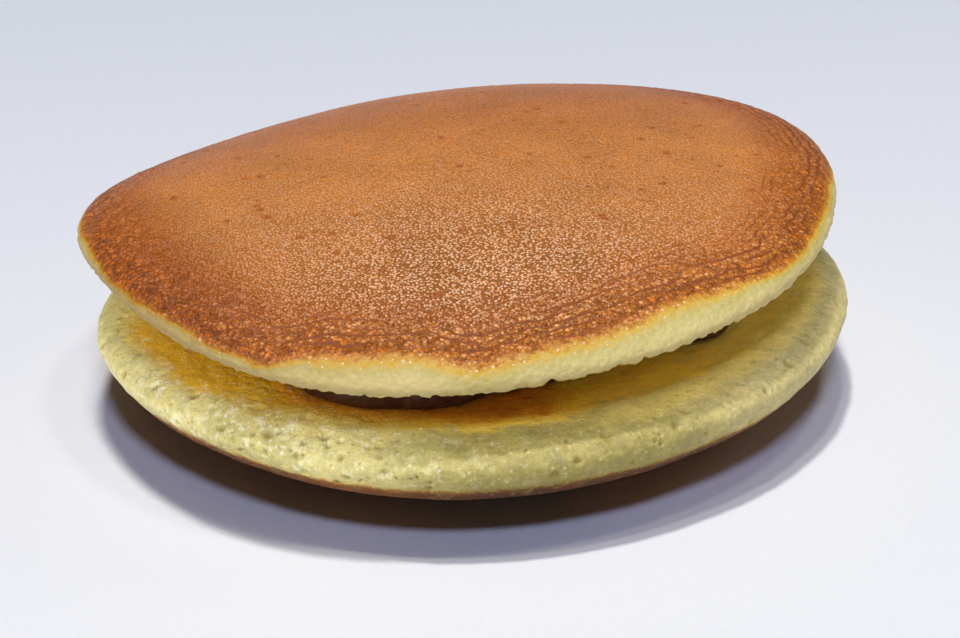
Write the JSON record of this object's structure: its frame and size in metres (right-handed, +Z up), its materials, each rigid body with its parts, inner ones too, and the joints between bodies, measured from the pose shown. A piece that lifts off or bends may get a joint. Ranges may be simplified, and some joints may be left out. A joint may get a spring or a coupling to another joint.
{
  "type": "dorayaki",
  "caption": "Round Japanese pancake sandwich: domed browned top and saucer-shaped base of pale sponge, with a thin layer of dark sweet bean paste showing in the gap.",
  "frame": {"origin": "on the table under the middle of the bottom pancake", "axes": "+Z up, -Y towards the side where the gap shows the filling"},
  "size_m": [0.0936, 0.098, 0.0278],
  "materials": {
    "bottom_sponge": "moist pale yellow sponge, browned underneath, with small pores",
    "bean_paste": "dark red-brown lumpy paste, slightly glossy",
    "top_crust": "fine-grained browned crust with a soft sheen, golden then pale at the rim"
  },
  "bodies": {
    "root": {"bottom_pancake": "bottom_sponge", "bean_paste": "bean_paste", "top_pancake": "top_crust"}
  },
  "joints": []
}
